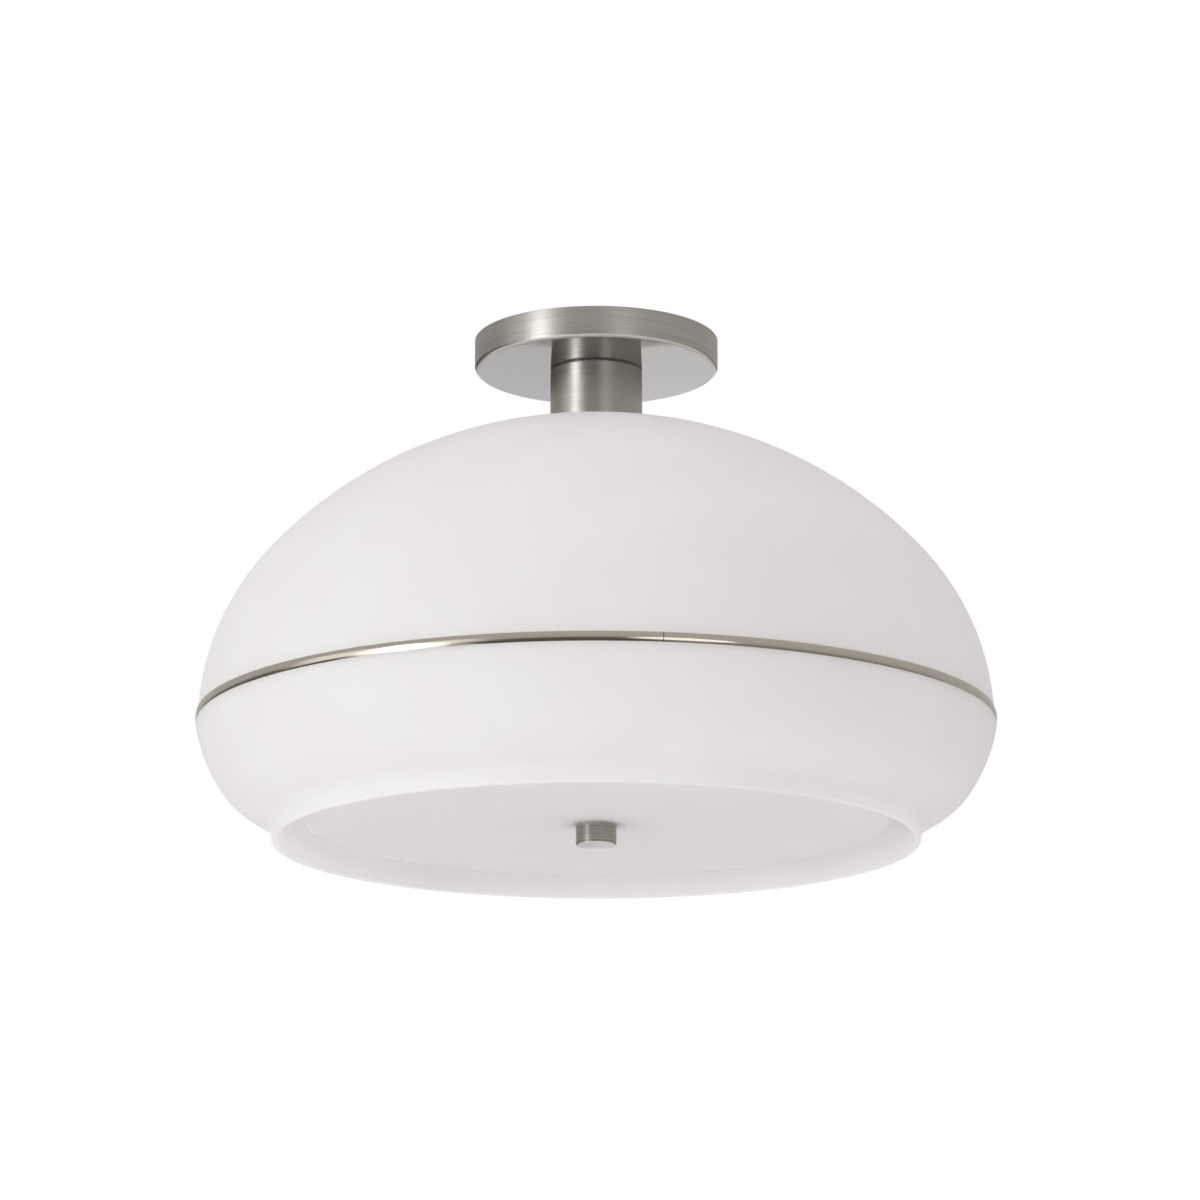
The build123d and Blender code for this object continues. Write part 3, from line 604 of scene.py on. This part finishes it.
def add_nut(bm, place, underside, height, across_flats, hole):
    """A hexagon nut with turned corners: on each face a 30 degree cone cuts the corners to a circle just
    inside the flats."""
    segments, chamfer, sixth = 72, 0.35, math.pi / 3
    apothem = across_flats / 2
    face_radius = apothem * 0.97
    slope = math.tan(math.radians(30))
    reach = (apothem / math.cos(math.radians(30)) - face_radius) * slope
    steps = [0, reach / 3, reach * 2 / 3, reach]
    levels = steps + [height - d for d in steps[::-1]]

    def ring(radius_at, z):
        verts = []
        for k in range(segments):
            angle = 2 * math.pi * k / segments
            r = radius_at(angle)
            point = Vector((r * math.cos(angle) * MM, r * math.sin(angle) * MM, (underside + z) * MM))
            verts.append(bm.verts.new(place @ point))
        return verts

    def outline(z):
        cone = face_radius + min(z, height - z) / slope
        return lambda angle: min(apothem / math.cos(angle % sixth - sixth / 2), cone)

    rings = [ring(outline(z), z) for z in levels]
    bore = ((hole + chamfer, height), (hole, height - chamfer), (hole, chamfer), (hole + chamfer, 0))
    rings += [ring(lambda angle: radius, z) for radius, z in bore]
    add_skin(bm, rings, segments, closed=True)


def make_nuts(name, node, nuts):
    """One piece of several nuts: each is its place, the height of its underside there, and its sizes."""
    bm = bmesh.new()
    for place, underside, sizes in nuts:
        add_nut(bm, place, underside, *sizes)
    dress(to_piece(name, bm, sharp=18), "fixture", "zinc_plate", node, zinc)


# ---- lamps, each measured out along its own axis from the hub's cone ---------------------------

def lamp_place(azimuth):
    """Where a lamp's axis starts on the hub's cone; local Z runs down and out along it."""
    a = math.radians(azimuth)
    out = Vector((math.cos(a), math.sin(a), 0))
    up = Vector((0, 0, 1))
    along = out * math.cos(LAMP_TILT) - up * math.sin(LAMP_TILT)
    across = out * math.sin(LAMP_TILT) + up * math.cos(LAMP_TILT)
    middle = (out * HUB_MIDDLE[0] + up * (low("cluster_hub").z + HUB_MIDDLE[1])) * MM
    place = Matrix((across, along.cross(across), along)).transposed().to_4x4()
    place.translation = middle
    return place


def make_lampholder(number, place):
    profile = rounded([
        (5.1, 4.0, 0.3), (11.5, 4.0, 0.8), (11.5, 12.0, 2.0), (19.5, 19.0, 3.5),
        (19.5, 44.5, 0.4), (20.6, 44.5, 0.5), (20.6, 48.0, 0.9), (15.6, 48.0, 0.7),
        (15.6, SOCKET_END, 0.4), (14.0, SOCKET_END, 0.4), (14.0, SOCKET_START, 1.0),
        (0, SOCKET_START, 0), (0, 12.0, 0), (5.1, 12.0, 0),
    ])
    piece = lathe(f"holder_{number}", profile, segments=96)
    piece.matrix_world = place
    dress(piece, "fixture", "porcelain", f"lampholder_{number}", porcelain)


def make_screw_shell(number, place):
    """The threaded cup in a lampholder."""
    radius, wall, hole, start, end = 13.9, 0.5, 6.0, SOCKET_START, SOCKET_END
    run = start + 2, end - 1
    side = heights(*run, LAMP_STEP)
    profile = [(hole, start), (radius, start)] + [(radius, z) for z in side]
    profile += [(radius, end), (radius - wall, end)] + [(radius - wall, z) for z in side[::-1]]
    profile += [(radius - wall, start + wall), (hole, start + wall)]
    cut = thread(LAMP_PITCH, 0.28, [run])
    piece = lathe(f"shell_{number}", profile, segments=64, wave=cut, sharp=50)
    piece.matrix_world = place
    dress(piece, "fixture", "aluminium", f"screw_shell_{number}", aluminium)


def make_bulb_glass(number, place):
    """A hollow globe that flares into a neck, with a stub that the cap grips."""
    radius, wall, centre, flare, flare_round = 30.0, 0.8, 98.0, math.radians(30), 22.0
    neck, stub, stub_end = 13.8, 12.5, CAP_END - 4

    def globe(r):
        return [(r * math.cos(a), centre + r * math.sin(a))
                for a in (math.radians(90 - 5 * k) for k in range(24))]

    def globe_end(r):
        return r * math.cos(flare), centre - r * math.sin(flare), 0

    def flare_to(r, neck_radius):
        """Where the flare, which leaves the globe as its tangent, would meet a neck's side."""
        return neck_radius, centre - (r - neck_radius * math.cos(flare)) / math.sin(flare), flare_round

    neck_line = rounded([
        globe_end(radius), flare_to(radius, neck), (neck, CAP_END, 0.3), (stub, CAP_END, 0),
        (stub, stub_end, 0), (stub - wall, stub_end, 0), flare_to(radius - wall, stub - wall),
        globe_end(radius - wall),
    ])
    profile = globe(radius) + neck_line + globe(radius - wall)[::-1]
    piece = lathe(f"bulb_{number}_glass", profile, segments=96)
    piece.matrix_world = place
    dress(piece, f"bulb_{number}", "bulb_glass", f"bulb_glass_{number}", bulb_white)


def make_bulb_cap(number, place):
    """The bulb's rolled metal cap, which closes in on the contact's insulator."""
    radius, skin, start, mouth = 13.05, 0.45, 24.2, 8.6
    run = start + 2.2, 41.0
    side = heights(*run, LAMP_STEP)
    profile = [(mouth, 22.6), (radius - 1.5, start), (radius - 0.4, start + 0.5), (radius, start + 1.5)]
    profile += [(radius, z) for z in side] + [(radius, CAP_END), (radius - skin, CAP_END)]
    profile += [(radius - skin, z) for z in side[::-1]]
    profile += [(radius - skin, start + 1.8), (radius - 2.0, start + skin), (mouth, 23.25)]
    cut = thread(LAMP_PITCH, 0.85, [run], fade=1.8)
    piece = lathe(f"bulb_{number}_cap", profile, segments=64, wave=cut, sharp=50)
    piece.matrix_world = place
    dress(piece, f"bulb_{number}", "aluminium", f"bulb_cap_{number}", aluminium)


def make_bulb_contact(number, place):
    """The black insulator at a bulb's foot, with a button of solder."""
    tip, button, insulator_radius = 20.0, 4.6, 8.6
    profile = rounded([
        (0, tip, 0), (3.2, tip, 1.0), (button, tip + 0.8, 0.3), (button, tip + 1.6, 0.2),
        (insulator_radius, tip + 2.6, 0.4), (insulator_radius, tip + 4.0, 0), (0, tip + 4.0, 0),
    ])
    piece = lathe(f"bulb_{number}_contact", profile, segments=48, closed=False)
    piece.matrix_world = place
    dress(piece, f"bulb_{number}", "black_insulator", f"bulb_contact_{number}", insulator, solder)
    paint_faces(piece, 1, lambda r, z, up: r < button + 0.1 and z < tip + 1.6)


make_canopy()
make_barrel()
make_knob()
make_shade()
make_band()
make_diffuser()
make_rod()
make_nipple()

upright = Matrix.Identity(4)
hub_top, hub_bottom = high("cluster_hub").z, low("cluster_hub").z
cap_bottom, stop_top = low("cluster_cap").z, high("stop_washer").z
make_nuts("nuts_on_nipple", "nipple_nuts",
          [(upright, z, NIPPLE_NUT) for z in (-5.0, -10.0, -21.2, hub_top, hub_top - 6.5)])
make_nuts("nuts_on_rod", "rod_nuts",
          [(upright, z, ROD_NUT) for z in (hub_bottom + 4.0, cap_bottom - 4.0, stop_top + 4.4, stop_top)])
make_nuts("nuts_on_arms", "arm_nuts",
          [(lamp_place(azimuth), 1.0, NIPPLE_NUT) for azimuth in LAMP_AZIMUTHS])
for lamp_number, lamp_azimuth in enumerate(LAMP_AZIMUTHS, start=1):
    for make in (make_lampholder, make_screw_shell, make_bulb_glass, make_bulb_cap, make_bulb_contact):
        make(lamp_number, lamp_place(lamp_azimuth))


# ---- the CAD nodes' own finish, by slot --------------------------------------------------------

SLOT_FINISH = {
    "aluminium": aluminium, "black_insulator": insulator, "brass": brass, "brushed_nickel": brushed_side,
    "bulb_glass": bulb_white, "frosted_glass": frosted, "green_screw": green_zinc, "nylon": nylon,
    "opal_glass": opal, "polished_nickel": ring_metal, "porcelain": porcelain, "silicone": silicone,
    "white_enamel": enamel, "zinc_plate": zinc,
}
for part in frame["record"]["subparts"]:
    node = frame["nodes"][part["node"]]
    node.data.materials.clear()
    node.data.materials.append(SLOT_FINISH[part["material_slot"]])


# ---- floor, light and camera, in metres --------------------------------------------------------

def make_floor():
    """A pale floor that fades into the white background with distance. What metal mirrors of it falls off
    into a dim room in front and at the sides, and stays a pale backdrop behind."""
    height, half = -2.2, 40.0
    room_from, room_to, haze_from, haze_to = 2.8, 5.5, 2.5, 8.0
    mesh = bpy.data.meshes.new("floor")
    corners = [(-half, -half, 0), (half, -half, 0), (half, half, 0), (-half, half, 0)]
    mesh.from_pydata(corners, [], [(0, 1, 2, 3)])
    floor = bpy.data.objects.new("floor", mesh)
    floor.location.z = height
    bpy.context.scene.collection.objects.link(floor)
    s = Shader("floor_paint")
    cloud = s.noise(s.place, 3.0)
    split = s.add("ShaderNodeSeparateXYZ", Vector=s.place)
    away = s.length(s.place)
    to_right = s.maths("DIVIDE", split.outputs[0], away)
    to_back = s.maths("DIVIDE", split.outputs[1], away)

    path = s.add("ShaderNodeLightPath")
    mirrored = s.maths("MULTIPLY", path.outputs["Is Glossy Ray"], s.smooth(away, room_from, room_to))
    pale = s.blend(cloud, rgb(246, 246, 246), rgb(243, 243, 243))
    room = s.blend(s.smooth(to_right, 0.15, 0.45), rgb(100, 99, 97), rgb(154, 153, 150))
    backdrop = s.blend(s.smooth(to_right, -0.02, 0.02), rgb(236, 236, 237), rgb(250, 250, 251))
    room = s.blend(s.smooth(to_back, 0.93, 0.98), room, backdrop)
    body = s.add("ShaderNodeBsdfDiffuse", Color=s.blend(mirrored, pale, room))
    haze = s.add("ShaderNodeEmission", Color=(1.0, 1.0, 1.0, 1.0), Strength=1.0)
    fade = s.maths("MULTIPLY", path.outputs["Is Camera Ray"], s.smooth(away, haze_from, haze_to))
    mesh.materials.append(s.surface(s.mix(fade, body, haze)))


def make_softbox(name, azimuth, elevation, distance, width, height, radiance, colour=(1, 1, 1)):
    """An oval soft panel that faces the object. Azimuth is from the camera's side, positive to its
    right."""
    aim = Vector((0, 0, -0.15))
    a, e = math.radians(azimuth), math.radians(elevation)
    away = Vector((math.sin(a) * math.cos(e), -math.cos(a) * math.cos(e), math.sin(e)))
    light = bpy.data.lights.new(name, "AREA")
    light.shape = "ELLIPSE"
    light.size, light.size_y = width, height
    # the power is the radiance times pi times the oval's area
    light.energy = radiance * math.pi * math.pi * width * height / 4
    light.color = colour
    lamp = bpy.data.objects.new(name, light)
    lamp.location = aim + away * distance
    lamp.rotation_euler = away.to_track_quat("Z", "Y").to_euler()
    lamp.visible_camera = False
    bpy.context.scene.collection.objects.link(lamp)


def make_world():
    """White to the camera. To the object it is a studio: dim at eye level, bright overhead, lit from the
    left, with the white backdrop behind. Angles are in degrees."""
    world = bpy.data.worlds.new("studio")
    bpy.context.scene.world = world
    world.use_nodes = True
    s = Nodes(world.node_tree)

    def window(value, middle, half, soft):
        """1 within half of the middle, falling softly to 0 over the next soft degrees."""
        off = s.maths("ABSOLUTE", s.maths("SUBTRACT", value, middle))
        return s.smooth(off, half, half + soft, before=1.0, after=0.0)

    direction = s.add("ShaderNodeTexCoord").outputs["Generated"]
    x, y, z = s.add("ShaderNodeSeparateXYZ", Vector=direction).outputs
    elevation = s.maths("DEGREES", s.maths("ARCSINE", z))
    azimuth = s.maths("DEGREES", s.maths("ARCTAN2", x, s.maths("MULTIPLY", y, -1.0)))
    backwards = s.maths("SUBTRACT", 180.0, s.maths("ABSOLUTE", azimuth))

    # the room's level by elevation; a ramp holds 0 to 1, so the levels go in divided by a range
    stops = [(-90, 0.70), (-40, 0.50), (-22, 0.15), (1, 0.15),
             (9, 0.49), (50, 0.55), (65, 1.24), (90, 2.05)]
    ramp_range = 4.0
    ramp = s.add("ShaderNodeValToRGB")
    s.feed(ramp.inputs[0], s.maths("DIVIDE", s.maths("ADD", elevation, 90.0), 180.0))
    ramp.color_ramp.interpolation = "EASE"
    while len(ramp.color_ramp.elements) < len(stops):
        ramp.color_ramp.elements.new(0.5)
    for element, (degrees, level) in zip(ramp.color_ramp.elements, stops):
        element.position = (degrees + 90) / 180
        element.color = (*[level / ramp_range] * 3, 1)
    room = s.maths("MULTIPLY", ramp.outputs[0], ramp_range)

    backdrop = s.maths("MULTIPLY", window(backwards, 0.0, 10.0, 8.0),
                       window(elevation, -15.0, 28.0, 10.0))
    glow = s.maths("MULTIPLY", window(azimuth, -62.0, 20.0, 24.0), window(elevation, -4.0, 20.0, 8.0))
    right = s.maths("MULTIPLY", window(azimuth, 95.0, 55.0, 22.0), window(elevation, 0.0, 30.0, 10.0))
    path = s.add("ShaderNodeLightPath")
    mirrored = s.maths("MAXIMUM", path.outputs["Is Glossy Ray"], path.outputs["Is Transmission Ray"])
    matt = s.maths("SUBTRACT", 1.0, path.outputs["Is Glossy Ray"])
    parts = ((glow, 1.1), (backdrop, 0.95), (right, 0.46), (backdrop, mirrored), (matt, 0.64))
    level = room
    for part, strength in parts:
        level = s.maths("MAXIMUM", level, s.maths("MULTIPLY", part, strength))
    studio = s.add("ShaderNodeBackground", Color=(1.0, 0.995, 0.99, 1), Strength=level)
    white = s.add("ShaderNodeBackground", Color=(1, 1, 1, 1))
    seen = s.mix(path.outputs["Is Camera Ray"], studio, white)
    s.add("ShaderNodeOutputWorld", Surface=seen.outputs[0])


def make_camera():
    data = bpy.data.cameras.new("camera")
    data.sensor_fit = "HORIZONTAL"
    data.sensor_width = SENSOR_MM
    data.lens = CAMERA_FOCAL_PX / PHOTO_WIDTH_PX * SENSOR_MM
    data.clip_end = 200.0
    camera = bpy.data.objects.new("camera", data)
    camera.location = CAMERA_PLACE
    camera.rotation_euler = (math.radians(90 + CAMERA_PITCH), 0, 0)
    bpy.context.scene.collection.objects.link(camera)
    bpy.context.scene.camera = camera


make_floor()
make_world()
make_softbox("key_left", -53, -22, 2.2, 1.70, 2.20, 0.42, (0.93, 0.97, 1.0))
make_softbox("key_middle", -53, -6, 2.2, 1.10, 1.50, 0.90, (0.93, 0.97, 1.0))
make_softbox("key_core", -53, -1, 2.2, 0.72, 1.08, 3.9, (0.92, 0.97, 1.0))
make_softbox("low_right", 23, -1, 2.2, 1.12, 0.56, 1.3)
make_softbox("floor_bounce", 0, -89.9, 1.9, 2.9, 2.9, 0.20)
make_camera()

bpy.context.scene.view_settings.view_transform = "Standard"
